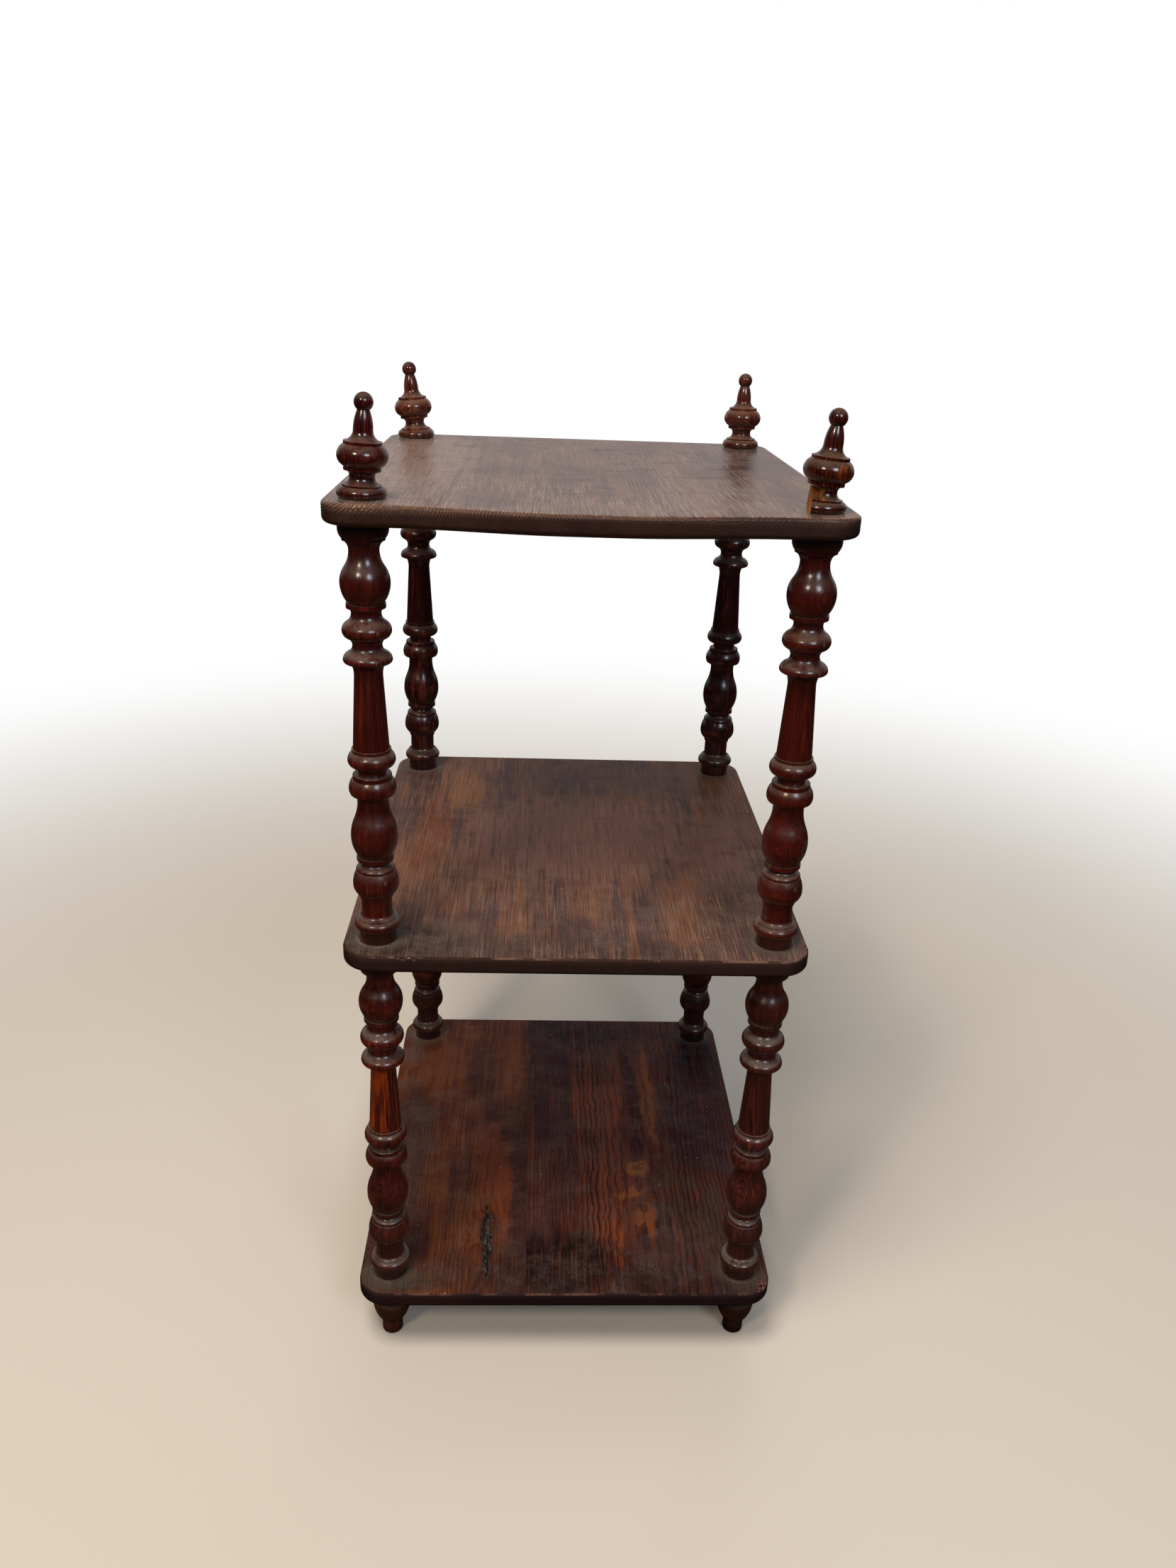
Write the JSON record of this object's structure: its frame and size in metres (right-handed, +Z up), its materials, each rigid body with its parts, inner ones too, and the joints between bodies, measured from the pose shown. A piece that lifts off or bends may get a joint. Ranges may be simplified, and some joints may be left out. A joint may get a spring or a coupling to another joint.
{
  "type": "etagere",
  "caption": "Tiered open display stand: rounded-corner wooden shelves on slim turned posts, with turned finials above and turned peg feet below.",
  "frame": {"origin": "on the floor, under the middle of the shelves", "axes": "+Z up, -Y towards the narrow front end, +X to the right of someone who faces the front"},
  "size_m": [0.386, 0.448, 0.8614],
  "materials": {
    "shelf_wood": "dark stained pine, worn and dull",
    "turned_wood": "dark red-brown stained pine under glossy shellac"
  },
  "bodies": {
    "root": {"top_shelf_left_board": "shelf_wood", "top_shelf_right_board": "shelf_wood", "middle_shelf_left_board": "shelf_wood", "middle_shelf_right_board": "shelf_wood", "bottom_shelf_left_board": "shelf_wood", "bottom_shelf_right_board": "shelf_wood", "upper_post_front_left": "turned_wood", "upper_post_front_right": "turned_wood", "upper_post_rear_left": "turned_wood", "upper_post_rear_right": "turned_wood", "lower_post_front_left": "turned_wood", "lower_post_front_right": "turned_wood", "lower_post_rear_left": "turned_wood", "lower_post_rear_right": "turned_wood", "finial_front_left": "turned_wood", "finial_front_right": "turned_wood", "finial_rear_left": "turned_wood", "finial_rear_right": "turned_wood", "foot_front_left": "turned_wood", "foot_front_right": "turned_wood", "foot_rear_left": "turned_wood", "foot_rear_right": "turned_wood"}
  },
  "joints": []
}
